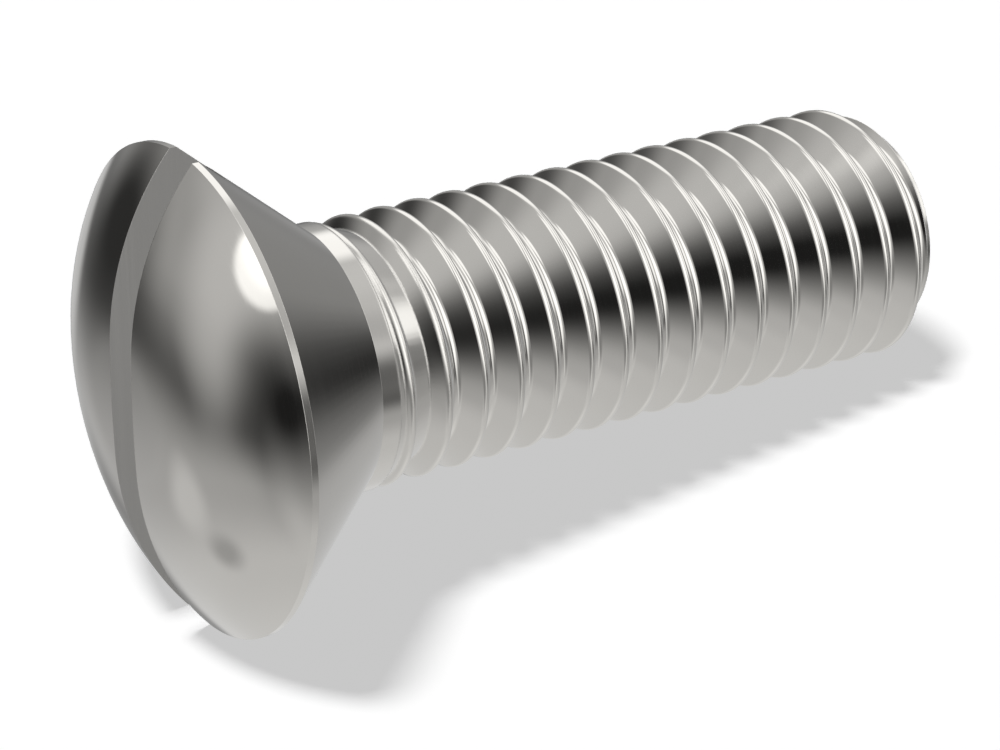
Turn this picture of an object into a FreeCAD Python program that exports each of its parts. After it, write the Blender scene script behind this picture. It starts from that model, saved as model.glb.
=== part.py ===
import FreeCAD, Part
import os
from math import atan2, cos, degrees, pi, radians, sin, sqrt, tan

# Slotted raised countersunk head screw, M10 by 30, turned and threaded from one bar.
# The screw is drawn upright first: its axis is Z, the rim plane of the head is z = 0,
# the crown is below it and the tip above. It is then laid down on the floor, z = 0,
# where it rests on the two corners of the slot in its rim and on its last thread crest.

# Driving dimensions in millimetres and degrees

# Head
head_diameter = 18.0
rim_thickness = 0.25
head_height = 5.0
crown_raise = 2.65
crown_radius = 60.0
crown_width = 4.6
slot_width = 1.7
slot_depth = 4.0

# Shank and length
shank_diameter = 10.0
shank_end = 5.75
screw_length = 30.0

# Thread, drawn in equal straight steps round its helix
pitch = 1.5
thread_diameter = 9.96
root_diameter = 8.16
crest_width = 0.19
flank_angle = 30.0
crest_at_slot = 5.13
turn_steps = 30

# Run-out, the tapered ground of the first turns
runout_diameter = 9.8
runout_end = 8.0

# Tip
tip_diameter = 8.1
tip_chamfer = 45.0

# Extra length by which a cutting or joining shape overruns the face that it meets
overrun = 1.0

# How far the base of the thread's ridge is sunk in the core, so that the two join
ridge_sink = 0.15
ridge_base = root_diameter / 2 - ridge_sink


def point(radius, height):
    """A point of the profile, in the XZ plane."""
    return FreeCAD.Vector(radius, 0, height)


def polyline(points):
    """Straight edges from each point to the next."""
    return [Part.makeLine(a, b) for a, b in zip(points[:-1], points[1:])]


def turned(edges):
    """The solid that a closed profile leaves when it turns about the screw's axis."""
    face = Part.Face(Part.Wire(edges))
    solid = face.revolve(FreeCAD.Vector(0, 0, 0), FreeCAD.Vector(0, 0, 1), 360)
    return solid if solid.Volume > 0 else solid.reversed()


def arc(centre_r, centre_z, radius, start_r, end_r):
    """The lower side of a circle, between two distances from the screw's axis."""
    def on_circle(distance):
        return point(distance, centre_z - sqrt(radius**2 - (distance - centre_r)**2))
    middle_r = (start_r + end_r) / 2
    return Part.Arc(on_circle(start_r), on_circle(middle_r), on_circle(end_r)).toShape()


def crown_edges():
    """The raised crown: a wide, nearly flat arc, then a tighter shoulder down to the rim."""
    rim = head_diameter / 2
    join = crown_width / 2
    centre = crown_radius - crown_raise
    join_height = centre - sqrt(crown_radius**2 - join**2)
    # The shoulder is tangent to the wide arc where they join, and ends on the rim
    to_centre_r = -join / crown_radius
    to_centre_z = (centre - join_height) / crown_radius
    gap_r = join - rim
    gap_z = join_height
    shoulder = -(gap_r**2 + gap_z**2) / (2 * (gap_r * to_centre_r + gap_z * to_centre_z))
    shoulder_r = join + shoulder * to_centre_r
    shoulder_z = join_height + shoulder * to_centre_z
    middle = (join + rim) / 2
    return [
        arc(0, centre, crown_radius, 0, join),
        arc(shoulder_r, shoulder_z, shoulder, join, middle),
        arc(shoulder_r, shoulder_z, shoulder, middle, rim),
    ]


def blank():
    """Head, plain shank and run-out taper, turned as one profile."""
    side = [
        point(head_diameter / 2, 0),
        point(head_diameter / 2, rim_thickness),
        point(shank_diameter / 2, head_height),
        point(shank_diameter / 2, shank_end),
        point(runout_diameter / 2, shank_end),
        point(root_diameter / 2, runout_end),
        point(0, runout_end),
        point(0, -crown_raise),
    ]
    return turned(crown_edges() + polyline(side))


def at_step(step, radius, height):
    """A point at one of the equal steps of angle that draw the thread."""
    angle = 2 * pi * step / turn_steps
    return FreeCAD.Vector(radius * cos(angle), radius * sin(angle), height)


def thread_core():
    """The thread's root, a bar with a side for each step of a turn."""
    corners = [at_step(step, root_diameter / 2, runout_end) for step in range(turn_steps + 1)]
    length = screw_length + overrun - runout_end
    return Part.Face(Part.makePolygon(corners)).extrude(FreeCAD.Vector(0, 0, length))


def thread_section(step):
    """The ridge's section at a step along its right-hand helix, its base sunk in the core."""
    crest = thread_diameter / 2
    middle = crest_at_slot + pitch * (step / turn_steps - 1)
    half_crest = crest_width / 2
    half_base = half_crest + (crest - ridge_base) * tan(radians(flank_angle))
    return Part.makePolygon([
        at_step(step, ridge_base, middle - half_base),
        at_step(step, crest, middle - half_crest),
        at_step(step, crest, middle + half_crest),
        at_step(step, ridge_base, middle + half_base),
        at_step(step, ridge_base, middle - half_base),
    ])


def thread_ridge():
    """The thread's ridge, lofted from step to step of its helix.

    It starts hidden inside the head's cone and runs out past the tip.
    """
    turns = 1 + (screw_length + overrun - crest_at_slot) / pitch
    steps = range(int(turns * turn_steps))
    return Part.makeLoft([thread_section(step) for step in steps], True, True)


def outside_tip():
    """All that lies outside the chamfered tip."""
    tip = tip_diameter / 2
    wide = head_diameter / 2
    chamfer_end = screw_length - (wide - tip) / tan(radians(tip_chamfer))
    return turned(polyline([
        point(0, screw_length),
        point(tip, screw_length),
        point(wide, chamfer_end),
        point(wide, screw_length + 2 * overrun),
        point(0, screw_length + 2 * overrun),
        point(0, screw_length),
    ]))


def slot():
    """The straight screwdriver slot, cut right across the head."""
    length = head_diameter + 2 * overrun
    corner = FreeCAD.Vector(-length / 2, -slot_width / 2, -crown_raise - overrun)
    return Part.makeBox(length, slot_width, slot_depth + overrun, corner)


def laid_down(screw):
    """The screw turned over on to the floor, with the origin under the middle of its box."""
    corner_radius = sqrt((head_diameter / 2)**2 - (slot_width / 2)**2)
    crest = thread_diameter / 2
    chamfer_start = screw_length - (crest - tip_diameter / 2) / tan(radians(tip_chamfer))
    droop = degrees(atan2(corner_radius - crest, chamfer_start - rim_thickness))
    screw.rotate(FreeCAD.Vector(0, 0, 0), FreeCAD.Vector(0, 1, 0), 90 + droop)
    box = screw.optimalBoundingBox(False, False)
    middle_x = (box.XMin + box.XMax) / 2
    middle_y = (box.YMin + box.YMax) / 2
    screw.translate(FreeCAD.Vector(-middle_x, -middle_y, -box.ZMin))
    return screw


screw = blank().multiFuse([thread_core(), thread_ridge()])
screw = screw.cut(outside_tip())
screw = screw.cut(slot())
screw = laid_down(screw.Solids[0])

os.makedirs("parts", exist_ok=True)
screw.exportStep("parts/screw.step")
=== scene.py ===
from math import atan2, cos, pi, radians, sin, sqrt, tan

import bpy
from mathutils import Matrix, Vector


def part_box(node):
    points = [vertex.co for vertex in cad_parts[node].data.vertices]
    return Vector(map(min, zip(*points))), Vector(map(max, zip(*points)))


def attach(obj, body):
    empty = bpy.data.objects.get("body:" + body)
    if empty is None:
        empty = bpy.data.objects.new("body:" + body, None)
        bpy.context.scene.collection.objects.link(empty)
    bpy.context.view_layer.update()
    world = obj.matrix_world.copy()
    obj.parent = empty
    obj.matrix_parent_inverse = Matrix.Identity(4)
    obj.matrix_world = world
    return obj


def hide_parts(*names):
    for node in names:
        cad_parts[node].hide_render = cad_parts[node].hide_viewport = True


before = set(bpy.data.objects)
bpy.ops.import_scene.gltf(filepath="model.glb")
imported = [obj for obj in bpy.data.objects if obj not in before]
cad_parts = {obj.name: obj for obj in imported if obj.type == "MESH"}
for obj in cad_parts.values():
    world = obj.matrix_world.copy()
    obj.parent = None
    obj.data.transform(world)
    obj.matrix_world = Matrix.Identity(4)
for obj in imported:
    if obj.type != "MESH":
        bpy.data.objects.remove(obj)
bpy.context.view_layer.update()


# The blank
# Head, cone, plain shank and run-out taper, turned from one bar of bright polished steel. Its
# outline is drawn point by point and spun about Z, the screw's axis until it is laid down.

mm = 0.001
head_radius = 9.0 * mm
rim_thickness = 0.25 * mm
head_height = 5.0 * mm
crown_raise = 2.65 * mm
crown_radius = 60.0 * mm
crown_join = 2.3 * mm
shank_radius = 5.0 * mm
shank_end = 5.75 * mm
runout_radius = 4.9 * mm
runout_end = 8.0 * mm
root_radius = 4.08 * mm
end_ring_inset = 0.5 * mm

# Steps round a full turn, along the crown's wide middle arc and along its shoulder
steps_around = 144
middle_steps = 8
shoulder_steps = 28

# Points nearer to each other than this are merged
weld = 0.0005 * mm


def arc_points(centre_r, centre_z, radius, start_r, end_r, count):
    """Points on the lower side of a circle, between two distances from the axis."""
    start = atan2(start_r - centre_r, sqrt(radius**2 - (start_r - centre_r)**2))
    end = atan2(end_r - centre_r, sqrt(radius**2 - (end_r - centre_r)**2))
    angles = [start + (end - start) * i / count for i in range(count + 1)]
    return [(centre_r + radius * sin(a), centre_z - radius * cos(a)) for a in angles]


def drawn(name, points):
    """A new object whose mesh is one chain of vertices in the XZ plane, left in edit mode."""
    bpy.ops.object.select_all(action="DESELECT")
    bpy.ops.mesh.primitive_plane_add(size=mm)
    piece = bpy.context.object
    piece.name = name
    bpy.ops.object.mode_set(mode="EDIT")
    bpy.ops.mesh.merge(type="CENTER")
    first_r, first_z = points[0]
    bpy.ops.transform.translate(value=(first_r, 0, first_z))
    for (from_r, from_z), (to_r, to_z) in zip(points[:-1], points[1:]):
        step = (to_r - from_r, 0, to_z - from_z)
        bpy.ops.mesh.extrude_vertices_move(TRANSFORM_OT_translate={"value": step})
    return piece


def spun(name, points):
    """A closed solid turned about the Z axis from an outline that starts and ends on it."""
    piece = drawn(name, points)
    bpy.ops.mesh.select_all(action="SELECT")
    bpy.ops.mesh.spin(steps=steps_around, angle=2 * pi, center=(0, 0, 0), axis=(0, 0, 1))
    bpy.ops.mesh.select_all(action="SELECT")
    bpy.ops.mesh.remove_doubles(threshold=weld)
    bpy.ops.mesh.normals_make_consistent(inside=False)
    bpy.ops.object.mode_set(mode="OBJECT")
    return piece


# The shoulder's arc is tangent to the wide middle arc where they join, and ends on the rim
crown_centre = crown_radius - crown_raise
join_z = crown_centre - sqrt(crown_radius**2 - crown_join**2)
lean_r = -crown_join / crown_radius
lean_z = (crown_centre - join_z) / crown_radius
gap_r = crown_join - head_radius
shoulder = -(gap_r**2 + join_z**2) / (2 * (gap_r * lean_r + join_z * lean_z))
shoulder_r = crown_join + shoulder * lean_r
shoulder_z = join_z + shoulder * lean_z
middle_arc = arc_points(0, crown_centre, crown_radius, 0, crown_join, middle_steps)
shoulder_arc = arc_points(shoulder_r, shoulder_z, shoulder, crown_join, head_radius,
                          shoulder_steps)
side = [
    (head_radius, rim_thickness),
    (shank_radius, head_height),
    (shank_radius, shank_end),
    (runout_radius, shank_end),
    (root_radius, runout_end),
    (root_radius - end_ring_inset, runout_end),
    (0, runout_end),
]
screw = spun("bright_screw", middle_arc + shoulder_arc[1:] + side)


# The thread
# A coarse right-hand thread with rounded crests and roots. One pitch of its outline is wound
# up the axis by the Screw modifier, and the ends are sliced off and filled.

pitch = 1.5 * mm
crest_radius = 4.98 * mm
crest_flat = 0.19 * mm
crest_round = 0.16 * mm
root_round = 0.2 * mm
round_steps = 6
flank = radians(30)
crest_at_slot = 5.13 * mm
rod_start = 4.4 * mm
screw_length = 30.0 * mm
beyond = 0.5 * mm
slice_width = 0.0001 * mm

# Spare turns wound past each end, which the slices take off
turns_below = 2
turns_above = 3


def rounded(corner, lean_in, lean_out, radius, count):
    """Points of the arc that rounds a corner between two lines, given by their lean from Z."""
    turn = (lean_out - lean_in) / 2
    back = radius * tan(abs(turn))
    points = []
    side_on = 1 if turn > 0 else -1
    start_r = corner[0] + back * -sin(lean_in)
    start_z = corner[1] + back * -cos(lean_in)
    centre_r = start_r + side_on * radius * cos(lean_in)
    centre_z = start_z - side_on * radius * sin(lean_in)
    for i in range(count + 1):
        lean = lean_in + 2 * turn * i / count
        points.append((centre_r - side_on * radius * cos(lean),
                       centre_z + side_on * radius * sin(lean)))
    return points


flank_rise = (crest_radius - root_radius) * tan(flank)
crest_low = -crest_flat / 2
crest_high = crest_flat / 2
root_low = crest_low - flank_rise
root_high = crest_high + flank_rise
up_flank = pi / 2 - flank
profile = [(root_radius, crest_at_slot - pitch / 2)]
for corner_r, corner_z, lean_in, lean_out, radius in (
    (root_radius, root_low, 0, up_flank, root_round),
    (crest_radius, crest_low, up_flank, 0, crest_round),
    (crest_radius, crest_high, 0, -up_flank, crest_round),
    (root_radius, root_high, -up_flank, 0, root_round),
):
    corner = (corner_r, crest_at_slot + corner_z)
    profile += rounded(corner, lean_in, lean_out, radius, round_steps)
profile.append((root_radius, crest_at_slot + pitch / 2))

thread = drawn("thread", profile)
bpy.ops.mesh.select_all(action="SELECT")
bpy.ops.transform.translate(value=(0, 0, -turns_below * pitch))
bpy.ops.object.mode_set(mode="OBJECT")
winding = thread.modifiers.new("winding", "SCREW")
winding.axis = "Z"
winding.angle = 2 * pi
winding.screw_offset = pitch
winding.iterations = turns_below + int((screw_length - crest_at_slot) / pitch) + turns_above
winding.steps = steps_around
winding.render_steps = steps_around
winding.use_merge_vertices = False
bpy.ops.object.modifier_apply(modifier=winding.name)
bpy.ops.object.mode_set(mode="EDIT")
bpy.ops.mesh.select_all(action="SELECT")
bpy.ops.mesh.remove_doubles(threshold=weld)
for slice_height, direction in ((rod_start, -1), (screw_length + beyond, 1)):
    bpy.ops.mesh.select_all(action="SELECT")
    bpy.ops.mesh.bisect(plane_co=(0, 0, slice_height), plane_no=(0, 0, direction),
                        use_fill=True, clear_outer=True, threshold=slice_width)
bpy.ops.mesh.select_all(action="SELECT")
bpy.ops.mesh.normals_make_consistent(inside=False)
bpy.ops.object.mode_set(mode="OBJECT")


# The tip
# The end of the screw is turned to a chamfer with a narrow land and a flat face. The thread
# is kept only where it lies inside a bar of that shape.

tip_radius = 4.05 * mm
tip_land = 0.16 * mm
land_taper = 0.03 * mm
land_radius = tip_radius + land_taper
land_start = screw_length - tip_land
last_crest = screw_length - (crest_radius - tip_radius)
chamfer_slope = (land_start - last_crest) / (crest_radius - land_radius)
bar_radius = 7.0 * mm
bar_start = 3.0 * mm
chamfer_start = land_start - (bar_radius - land_radius) * chamfer_slope
bar = spun("chamfered_bar", [
    (0, bar_start),
    (bar_radius, bar_start),
    (bar_radius, chamfer_start),
    (land_radius, land_start),
    (tip_radius, screw_length),
    (0, screw_length),
])


def combined(piece, other, operation, material_mode="INDEX"):
    """Joins, keeps or cuts the piece with the other solid, which is then removed."""
    cut = piece.modifiers.new(operation.lower(), "BOOLEAN")
    cut.operation = operation
    cut.object = other
    cut.solver = "EXACT"
    cut.material_mode = material_mode
    bpy.ops.object.select_all(action="DESELECT")
    bpy.context.view_layer.objects.active = piece
    piece.select_set(True)
    bpy.ops.object.modifier_apply(modifier=cut.name)
    bpy.data.objects.remove(other)


combined(thread, bar, "INTERSECT")
combined(screw, thread, "UNION")


# The slot
# The screwdriver slot is sawn straight across the head. The saw leaves its walls and floor
# matt, so its faces keep a finish of their own. Their steel is also darker, as painted shade
# in the slot.

slot_width = 1.7 * mm
slot_depth = 4.0 * mm
polished_steel = bpy.data.materials.new("polished_steel")
sawn_and_shaded_steel = bpy.data.materials.new("sawn_and_shaded_steel")

# The blade's middle is level with the top of the crown, so half of its height cuts
blade_length = 3 * head_radius
blade_height = 2 * slot_depth
bpy.ops.mesh.primitive_cube_add(size=1)
blade = bpy.context.object
blade.name = "slot_cutter"
bpy.ops.object.mode_set(mode="EDIT")
bpy.ops.transform.resize(value=(blade_length, slot_width, blade_height))
bpy.ops.transform.translate(value=(0, 0, -crown_raise))
bpy.ops.object.mode_set(mode="OBJECT")
screw.data.materials.append(polished_steel)
blade.data.materials.append(sawn_and_shaded_steel)
combined(screw, blade, "DIFFERENCE", material_mode="TRANSFER")


# The screw laid down
# It comes to rest on the two corners of the slot in its rim and on its last thread crest, so
# its axis droops a little towards the tip, as the frame has it.

corner_radius = sqrt(head_radius**2 - (slot_width / 2)**2)
droop = atan2(corner_radius - crest_radius, last_crest - rim_thickness)
lying = (0, pi / 2 + droop, 0)
bpy.ops.object.select_all(action="DESELECT")
screw.select_set(True)
bpy.context.view_layer.objects.active = screw
screw.rotation_euler = lying
bpy.ops.object.transform_apply(location=False, rotation=True, scale=False)
low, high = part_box("screw")
tip_x = max(v.co.x for v in screw.data.vertices)
floor_z = min(v.co.z for v in screw.data.vertices)
rim_place = (high[0] - tip_x, 0, low[2] - floor_z)
bpy.ops.object.mode_set(mode="EDIT")
bpy.ops.mesh.select_all(action="SELECT")
bpy.ops.transform.translate(value=rim_place)
bpy.ops.mesh.normals_make_consistent(inside=False)
bpy.ops.object.mode_set(mode="OBJECT")

# Edges that turn more sharply than this stay sharp
sharp_edge = radians(22)
bpy.ops.object.shade_smooth_by_angle(angle=sharp_edge)
facing = screw.modifiers.new("facing", "WEIGHTED_NORMAL")
facing.keep_sharp = True
bpy.ops.object.modifier_apply(modifier=facing.name)

# The screw doesn't mirror itself, and throws no light back on the floor
screw.visible_glossy = False
screw.visible_diffuse = False
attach(screw, "root")
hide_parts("screw")


# The finish
# Bare steel polished bright on the lathe, so its faint marks are rings about the screw's axis.
# The slot has the coarser straight marks that the saw left along it.

patches_per_mm = 0.4
usual_dip = 0.3
usual_peak = 0.7
edge_ease = 0.02 * mm
runout_ease = 0.13 * mm
runout_margin = 0.15 * mm


def placed(tree, kind, **settings):
    """A new node of a kind, with its settings."""
    node = tree.nodes.new(kind)
    for setting, value in settings.items():
        setattr(node, setting, value)
    return node


def tool_marks():
    """Node group: fine lines that follow whatever direction the track doesn't change in."""
    marks = bpy.data.node_groups.new("tool_marks", "ShaderNodeTree")
    marks.interface.new_socket("Track", in_out="INPUT", socket_type="NodeSocketVector")
    marks.interface.new_socket("Lines per mm", in_out="INPUT", socket_type="NodeSocketFloat")
    marks.interface.new_socket("Line", in_out="OUTPUT", socket_type="NodeSocketFloat")
    marks.interface.new_socket("Patch", in_out="OUTPUT", socket_type="NodeSocketFloat")
    given = placed(marks, "NodeGroupInput")
    result = placed(marks, "NodeGroupOutput")
    per_metre = placed(marks, "ShaderNodeMath", operation="MULTIPLY")
    per_metre.inputs[1].default_value = 1 / mm
    lines = placed(marks, "ShaderNodeTexNoise")
    lines.inputs["Detail"].default_value = 3
    lines.inputs["Roughness"].default_value = 0.6
    patches = placed(marks, "ShaderNodeTexNoise")
    patches.inputs["Scale"].default_value = patches_per_mm / mm
    patches.inputs["Detail"].default_value = 2
    marks.links.new(given.outputs["Lines per mm"], per_metre.inputs[0])
    marks.links.new(per_metre.outputs["Value"], lines.inputs["Scale"])
    marks.links.new(given.outputs["Track"], lines.inputs["Vector"])
    marks.links.new(given.outputs["Track"], patches.inputs["Vector"])
    marks.links.new(lines.outputs["Fac"], result.inputs["Line"])
    marks.links.new(patches.outputs["Fac"], result.inputs["Patch"])


def steel(material, turned, lines_per_mm, light, dark, smooth, matt, mark_height):
    """Fills in a steel finish whose tool marks are rings, or straight lines along the slot."""
    material.use_nodes = True
    tree = material.node_tree
    shader = tree.nodes["Principled BSDF"]
    shader.inputs["Metallic"].default_value = 1.0

    # The object's coordinates turned back to the upright screw, whose axis is Z
    here = placed(tree, "ShaderNodeTexCoord")
    upright = placed(tree, "ShaderNodeMapping", vector_type="TEXTURE")
    upright.inputs["Location"].default_value = rim_place
    upright.inputs["Rotation"].default_value = lying
    tree.links.new(here.outputs["Object"], upright.inputs["Vector"])
    axes = placed(tree, "ShaderNodeSeparateXYZ")
    tree.links.new(upright.outputs["Vector"], axes.inputs["Vector"])

    # The track runs along the axis, and out from it or across the slot
    track = placed(tree, "ShaderNodeCombineXYZ")
    tree.links.new(axes.outputs["Z"], track.inputs["Y"])
    if turned:
        level = placed(tree, "ShaderNodeCombineXYZ")
        tree.links.new(axes.outputs["X"], level.inputs["X"])
        tree.links.new(axes.outputs["Y"], level.inputs["Y"])
        radius = placed(tree, "ShaderNodeVectorMath", operation="LENGTH")
        tree.links.new(level.outputs["Vector"], radius.inputs["Vector"])
        tree.links.new(radius.outputs["Value"], track.inputs["X"])
    else:
        tree.links.new(axes.outputs["Y"], track.inputs["X"])
    marks = placed(tree, "ShaderNodeGroup", node_tree=bpy.data.node_groups["tool_marks"])
    marks.inputs["Lines per mm"].default_value = lines_per_mm
    tree.links.new(track.outputs["Vector"], marks.inputs["Track"])

    tone = placed(tree, "ShaderNodeMix", data_type="RGBA")
    tone.inputs["A"].default_value = (*light, 1)
    tone.inputs["B"].default_value = (*dark, 1)
    tree.links.new(marks.outputs["Patch"], tone.inputs["Factor"])
    tree.links.new(tone.outputs["Result"], shader.inputs["Base Color"])
    polish = placed(tree, "ShaderNodeMapRange")
    polish.inputs["From Min"].default_value = usual_dip
    polish.inputs["From Max"].default_value = usual_peak
    polish.inputs["To Min"].default_value = smooth
    polish.inputs["To Max"].default_value = matt
    tree.links.new(marks.outputs["Line"], polish.inputs["Value"])
    tree.links.new(polish.outputs["Result"], shader.inputs["Roughness"])

    # Every edge is eased a little, and those of the run-out more, so that they catch the light
    runout = placed(tree, "ShaderNodeMath", operation="COMPARE")
    runout.inputs[1].default_value = (shank_end + runout_end) / 2
    runout.inputs[2].default_value = (runout_end - shank_end) / 2 + runout_margin
    tree.links.new(axes.outputs["Z"], runout.inputs[0])
    easing = placed(tree, "ShaderNodeMapRange")
    easing.inputs["To Min"].default_value = edge_ease
    easing.inputs["To Max"].default_value = runout_ease
    tree.links.new(runout.outputs["Value"], easing.inputs["Value"])
    eased = placed(tree, "ShaderNodeBevel", samples=6)
    tree.links.new(easing.outputs["Result"], eased.inputs["Radius"])
    relief = placed(tree, "ShaderNodeBump")
    tree.links.new(eased.outputs["Normal"], relief.inputs["Normal"])
    relief.inputs["Strength"].default_value = 1.0
    relief.inputs["Distance"].default_value = mark_height
    tree.links.new(marks.outputs["Line"], relief.inputs["Height"])
    tree.links.new(relief.outputs["Normal"], shader.inputs["Normal"])


tool_marks()
steel(polished_steel, turned=True, lines_per_mm=12, light=(0.53, 0.518, 0.493),
      dark=(0.5, 0.488, 0.463), smooth=0.06, matt=0.1, mark_height=0.0002 * mm)
# The slot's steel is darker than the polished steel: painted shade in the slot, on top of its
# real matt finish and saw marks
steel(sawn_and_shaded_steel, turned=False, lines_per_mm=8, light=(0.29, 0.285, 0.275),
      dark=(0.27, 0.265, 0.255), smooth=0.4, matt=0.5, mark_height=0.002 * mm)


# The floor
# A white floor under the screw. It is bright to the camera by its own colour, and the lamp
# adds the rest, so that the screw's shadow shows on it as a soft pale grey.

floor_size = 2.0
floor_tone = 0.8
shadow_level = 0.56
bpy.ops.object.select_all(action="DESELECT")
bpy.ops.mesh.primitive_plane_add(size=floor_size)
floor = bpy.context.object
floor.name = "floor"
floor.visible_glossy = False
white_floor = bpy.data.materials.new("white_floor")
white_floor.use_nodes = True
floor_tree = white_floor.node_tree
floor_shader = floor_tree.nodes["Principled BSDF"]
floor_shader.inputs["Base Color"].default_value = (floor_tone, floor_tone, floor_tone, 1)
floor_shader.inputs["Roughness"].default_value = 1.0
floor_shader.inputs["Specular IOR Level"].default_value = 0.0
floor_shader.inputs["Emission Color"].default_value = (1, 1, 1, 1)
floor_sight = placed(floor_tree, "ShaderNodeLightPath")
own_light = placed(floor_tree, "ShaderNodeMath", operation="MULTIPLY")
own_light.inputs[1].default_value = shadow_level
floor_tree.links.new(floor_sight.outputs["Is Camera Ray"], own_light.inputs[0])
floor_tree.links.new(own_light.outputs["Value"], floor_shader.inputs["Emission Strength"])
floor.data.materials.append(white_floor)


# The lamp
# One distant lamp, nearly overhead and a little towards the head, casts the screw's soft
# shadow. It is left out of reflections, which show the studio's soft boxes instead.

lamp_lean = radians(9.5)
lamp_turn = radians(-100)
lamp_light = bpy.data.lights.new("lamp", "SUN")
lamp_light.energy = 1.72
lamp_light.angle = radians(12)
lamp = bpy.data.objects.new("lamp", lamp_light)
lamp.rotation_euler = (lamp_lean, 0, lamp_turn)
lamp.visible_glossy = False
bpy.context.scene.collection.objects.link(lamp)


# The near soft box
# A small round panel close to the head. It is only there to shine in the crown, so its light
# ends between the head and the thread.

panel_radius = 4.8 * mm
panel_brightness = 1.05
panel_place = (-22.3 * mm, -5.3 * mm, 23.6 * mm)
panel_lean = radians(59.4)
panel_turn = radians(-100.2)

# Its light is full up to the first distance, and gone beyond the second
full_reach = 15 * mm
last_reach = 18 * mm

# Its own coordinates run from 0 to 1 across it, and its rim is soft
panel_middle = (0.5, 0.5, 0)
panel_rim = 0.5
panel_even = 0.4

panel_light = bpy.data.lights.new("near_soft_box", "AREA")
panel_light.shape = "DISK"
panel_light.size = 2 * panel_radius
panel_light.energy = panel_brightness * pi * pi * panel_radius**2
panel_light.use_nodes = True
panel_tree = panel_light.node_tree
panel_reach = placed(panel_tree, "ShaderNodeLightPath")
panel_fade = placed(panel_tree, "ShaderNodeMapRange")
panel_fade.inputs["From Min"].default_value = last_reach
panel_fade.inputs["From Max"].default_value = full_reach
panel_tree.links.new(panel_reach.outputs["Ray Length"], panel_fade.inputs["Value"])
panel_face = placed(panel_tree, "ShaderNodeNewGeometry")
panel_spot = placed(panel_tree, "ShaderNodeVectorMath", operation="DISTANCE")
panel_spot.inputs[1].default_value = panel_middle
panel_tree.links.new(panel_face.outputs["Parametric"], panel_spot.inputs[0])
panel_edge = placed(panel_tree, "ShaderNodeMapRange", interpolation_type="SMOOTHSTEP")
panel_edge.inputs["From Min"].default_value = panel_rim
panel_edge.inputs["From Max"].default_value = panel_even
panel_tree.links.new(panel_spot.outputs["Value"], panel_edge.inputs["Value"])
panel_soft = placed(panel_tree, "ShaderNodeMath", operation="MULTIPLY")
panel_tree.links.new(panel_fade.outputs["Result"], panel_soft.inputs[0])
panel_tree.links.new(panel_edge.outputs["Result"], panel_soft.inputs[1])
panel_glow = panel_tree.nodes["Emission"]
panel_tree.links.new(panel_soft.outputs["Value"], panel_glow.inputs["Strength"])
near_panel = bpy.data.objects.new("near_soft_box", panel_light)
near_panel.location = panel_place
near_panel.rotation_euler = (panel_lean, 0, panel_turn)
near_panel.visible_camera = False
near_panel.visible_diffuse = False
bpy.context.scene.collection.objects.link(near_panel)


# The studio
# A white room whose soft boxes and dark flags show only in the screw's reflections. They are
# hung square to the screw, each by its bearing round the screw and its height in degrees.

straight_down = -90
straight_up = 90
half_turn = 180
studio = bpy.data.worlds.new("studio")
bpy.context.scene.world = studio
studio.use_nodes = True
room = studio.node_tree
room.nodes.clear()


def angle_of(operation, *sources):
    """An angle in degrees from one or two outputs."""
    angle = placed(room, "ShaderNodeMath", operation=operation)
    for source, socket in zip(sources, angle.inputs):
        room.links.new(source, socket)
    degrees = placed(room, "ShaderNodeMath", operation="DEGREES")
    room.links.new(angle.outputs["Value"], degrees.inputs[0])
    return degrees.outputs["Value"]


sight = placed(room, "ShaderNodeTexCoord")
square_on = placed(room, "ShaderNodeMapping", vector_type="POINT")
square_on.inputs["Rotation"].default_value = (0, -droop, 0)
room.links.new(sight.outputs["Generated"], square_on.inputs["Vector"])
compass = placed(room, "ShaderNodeSeparateXYZ")
room.links.new(square_on.outputs["Vector"], compass.inputs["Vector"])
bearing = angle_of("ARCTAN2", compass.outputs["Y"], compass.outputs["X"])
height = angle_of("ARCSINE", compass.outputs["Z"])

# The bare room: pale ground, dark skirting, grey walls and a bright ceiling
brightest = 2.0
room_height = placed(room, "ShaderNodeMapRange")
room_height.inputs["From Min"].default_value = straight_down
room_height.inputs["From Max"].default_value = straight_up
room.links.new(height, room_height.inputs["Value"])
walls = placed(room, "ShaderNodeValToRGB")
walls.color_ramp.interpolation = "EASE"
for at, level in ((straight_down, 1.25), (-50, 0.97), (-30, 0.68), (-15, 0.18), (0, 0.4),
                  (20, 0.8), (40, 0.8), (68, 1.1), (76, 1.9), (straight_up, 2.0)):
    where = (at - straight_down) / (straight_up - straight_down)
    if at == straight_down:
        stop = walls.color_ramp.elements[0]
    elif at == straight_up:
        stop = walls.color_ramp.elements[-1]
    else:
        stop = walls.color_ramp.elements.new(where)
    shade = level / brightest
    stop.color = (shade, shade, shade, 1)
room.links.new(room_height.outputs["Result"], walls.inputs["Fac"])
bare_room = placed(room, "ShaderNodeMath", operation="MULTIPLY")
bare_room.inputs[1].default_value = brightest
room.links.new(walls.outputs["Color"], bare_room.inputs[0])


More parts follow.
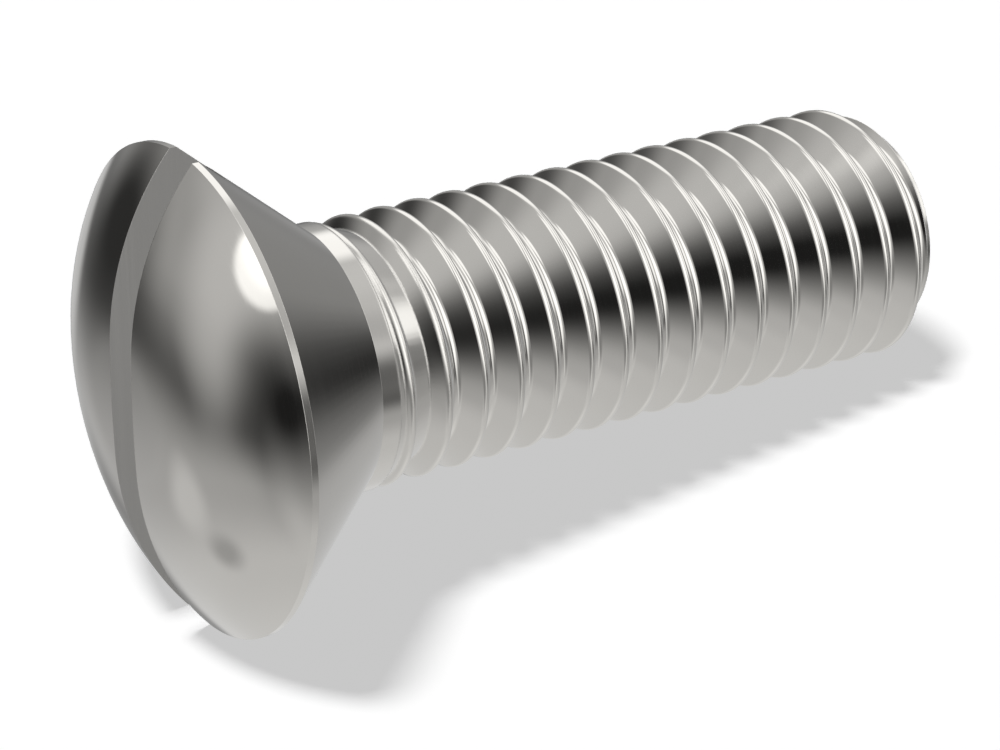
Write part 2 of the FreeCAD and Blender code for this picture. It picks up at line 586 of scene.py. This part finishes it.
def panel_mask():
    """Node group: a soft-edged oval panel, 1 inside and 0 outside, placed by its angles."""
    panel = bpy.data.node_groups.new("panel_mask", "ShaderNodeTree")
    for name in ("Bearing", "Height", "Panel Bearing", "Panel Height", "Half Width",
                 "Half Height", "Core"):
        panel.interface.new_socket(name, in_out="INPUT", socket_type="NodeSocketFloat")
    panel.interface.new_socket("Mask", in_out="OUTPUT", socket_type="NodeSocketFloat")
    given = placed(panel, "NodeGroupInput")
    result = placed(panel, "NodeGroupOutput")
    aside = placed(panel, "ShaderNodeMath", operation="SUBTRACT")
    panel.links.new(given.outputs["Bearing"], aside.inputs[0])
    panel.links.new(given.outputs["Panel Bearing"], aside.inputs[1])
    nearest = placed(panel, "ShaderNodeMath", operation="WRAP")
    nearest.inputs[1].default_value = half_turn
    nearest.inputs[2].default_value = -half_turn
    panel.links.new(aside.outputs["Value"], nearest.inputs[0])
    across = placed(panel, "ShaderNodeMath", operation="DIVIDE")
    panel.links.new(nearest.outputs["Value"], across.inputs[0])
    panel.links.new(given.outputs["Half Width"], across.inputs[1])
    above = placed(panel, "ShaderNodeMath", operation="SUBTRACT")
    panel.links.new(given.outputs["Height"], above.inputs[0])
    panel.links.new(given.outputs["Panel Height"], above.inputs[1])
    up = placed(panel, "ShaderNodeMath", operation="DIVIDE")
    panel.links.new(above.outputs["Value"], up.inputs[0])
    panel.links.new(given.outputs["Half Height"], up.inputs[1])
    spot = placed(panel, "ShaderNodeCombineXYZ")
    panel.links.new(across.outputs["Value"], spot.inputs["X"])
    panel.links.new(up.outputs["Value"], spot.inputs["Y"])
    outwards = placed(panel, "ShaderNodeVectorMath", operation="LENGTH")
    panel.links.new(spot.outputs["Vector"], outwards.inputs["Vector"])
    edge = placed(panel, "ShaderNodeMapRange", interpolation_type="SMOOTHSTEP")
    edge.inputs["From Min"].default_value = 1
    edge.inputs["To Min"].default_value = 0
    edge.inputs["To Max"].default_value = 1
    panel.links.new(outwards.outputs["Value"], edge.inputs["Value"])
    panel.links.new(given.outputs["Core"], edge.inputs["From Max"])
    panel.links.new(edge.outputs["Result"], result.inputs["Mask"])


def hang(behind, label, at, up, wide, tall, core, level):
    """Hangs one panel in front of what is behind it, and returns the level seen now.

    It is at a bearing and up at a height, and wide and tall are half of its size, all in
    degrees. Its core is the share of it that is even, and its level is how bright it is.
    """
    panel = placed(room, "ShaderNodeGroup", node_tree=bpy.data.node_groups["panel_mask"])
    panel.label = label
    panel.inputs["Panel Bearing"].default_value = at
    panel.inputs["Panel Height"].default_value = up
    panel.inputs["Half Width"].default_value = wide
    panel.inputs["Half Height"].default_value = tall
    panel.inputs["Core"].default_value = core
    room.links.new(bearing, panel.inputs["Bearing"])
    room.links.new(height, panel.inputs["Height"])
    seen = placed(room, "ShaderNodeMix", data_type="FLOAT")
    seen.inputs["B"].default_value = level
    room.links.new(panel.outputs["Mask"], seen.inputs["Factor"])
    room.links.new(behind, seen.inputs["A"])
    return seen.outputs["Result"]


panel_mask()
seen = bare_room.outputs["Value"]
seen = hang(seen, "key soft box", at=-98, up=42, wide=41, tall=100, core=0.7, level=2.3)
seen = hang(seen, "far soft box", at=80, up=46, wide=60, tall=30, core=0.6, level=1.95)
seen = hang(seen, "ceiling soft box", at=-5, up=43, wide=42, tall=16, core=0.5, level=2.1)
seen = hang(seen, "tip soft box", at=-20, up=22, wide=26, tall=17, core=0.3, level=1.9)
seen = hang(seen, "grey wall", at=108, up=12, wide=58, tall=22, core=0.5, level=0.6)
seen = hang(seen, "pale screen", at=-145, up=-25, wide=36, tall=60, core=0.65, level=1.05)
seen = hang(seen, "near flag", at=-125, up=-25, wide=72, tall=34, core=0.15, level=0.4)
seen = hang(seen, "light wall", at=160, up=23, wide=23, tall=53, core=0.15, level=0.95)
seen = hang(seen, "window", at=176, up=46, wide=26, tall=26, core=0.6, level=2.1)
seen = hang(seen, "near tip box", at=-32, up=30, wide=24, tall=27, core=0.5, level=2.0)
seen = hang(seen, "far low box", at=80, up=-18, wide=15, tall=9, core=0.4, level=0.7)
seen = hang(seen, "far low shade", at=80, up=-35, wide=26, tall=10, core=0.3, level=0.35)
seen = hang(seen, "far flag", at=112, up=-3, wide=30, tall=27, core=0.2, level=0.045)
seen = hang(seen, "head flag", at=-168, up=-5, wide=30, tall=33, core=0.1, level=0.022)
seen = hang(seen, "tip wall", at=-5, up=-15, wide=26, tall=17, core=0.5, level=0.75)
seen = hang(seen, "cone wall", at=38, up=-15, wide=24, tall=12, core=0.3, level=0.65)
seen = hang(seen, "tip flag", at=14, up=-11, wide=14, tall=17, core=0.0, level=0.04)
seen = hang(seen, "near low flag", at=-66, up=2, wide=11, tall=30, core=0.2, level=0.22)
seen = hang(seen, "near tip wall", at=-44, up=-1, wide=13, tall=20, core=0.3, level=1.1)
seen = hang(seen, "pale patch", at=137, up=-34, wide=13, tall=9, core=0.3, level=0.95)
seen = hang(seen, "grey patch", at=146, up=-45, wide=13, tall=6, core=0.2, level=0.6)

# Reflections see the room, the camera sees plain white, and all else gets only a dim light
room_light = placed(room, "ShaderNodeBackground")
room_light.inputs["Strength"].default_value = 0.92
room.links.new(seen, room_light.inputs["Color"])
dim = placed(room, "ShaderNodeBackground")
dim.inputs["Color"].default_value = (0.02, 0.02, 0.02, 1)
plain_white = placed(room, "ShaderNodeBackground")
plain_white.inputs["Color"].default_value = (1, 1, 1, 1)
ray = placed(room, "ShaderNodeLightPath")
shiny = placed(room, "ShaderNodeMath", operation="MAXIMUM")
room.links.new(ray.outputs["Is Glossy Ray"], shiny.inputs[0])
room.links.new(ray.outputs["Is Transmission Ray"], shiny.inputs[1])
reflected = placed(room, "ShaderNodeMixShader")
room.links.new(shiny.outputs["Value"], reflected.inputs["Fac"])
room.links.new(dim.outputs["Background"], reflected.inputs[1])
room.links.new(room_light.outputs["Background"], reflected.inputs[2])
shown = placed(room, "ShaderNodeMixShader")
room.links.new(ray.outputs["Is Camera Ray"], shown.inputs["Fac"])
room.links.new(reflected.outputs["Shader"], shown.inputs[1])
room.links.new(plain_white.outputs["Background"], shown.inputs[2])
world_output = placed(room, "ShaderNodeOutputWorld")
room.links.new(shown.outputs["Shader"], world_output.inputs["Surface"])


# The camera
# A long lens looks down on the head from the left, near enough for the head to loom a little
# over the far tip.

lens = bpy.data.cameras.new("camera")
lens.lens = 113.5
lens.sensor_width = 36
lens.clip_start = 0.005
camera = bpy.data.objects.new("camera", lens)
camera.location = (-50.46 * mm, -91.03 * mm, 62.46 * mm)
camera.rotation_euler = (radians(60.654), radians(6.324), radians(-31.944))
bpy.context.scene.collection.objects.link(camera)
bpy.context.scene.camera = camera

bpy.context.scene.view_settings.view_transform = "Standard"
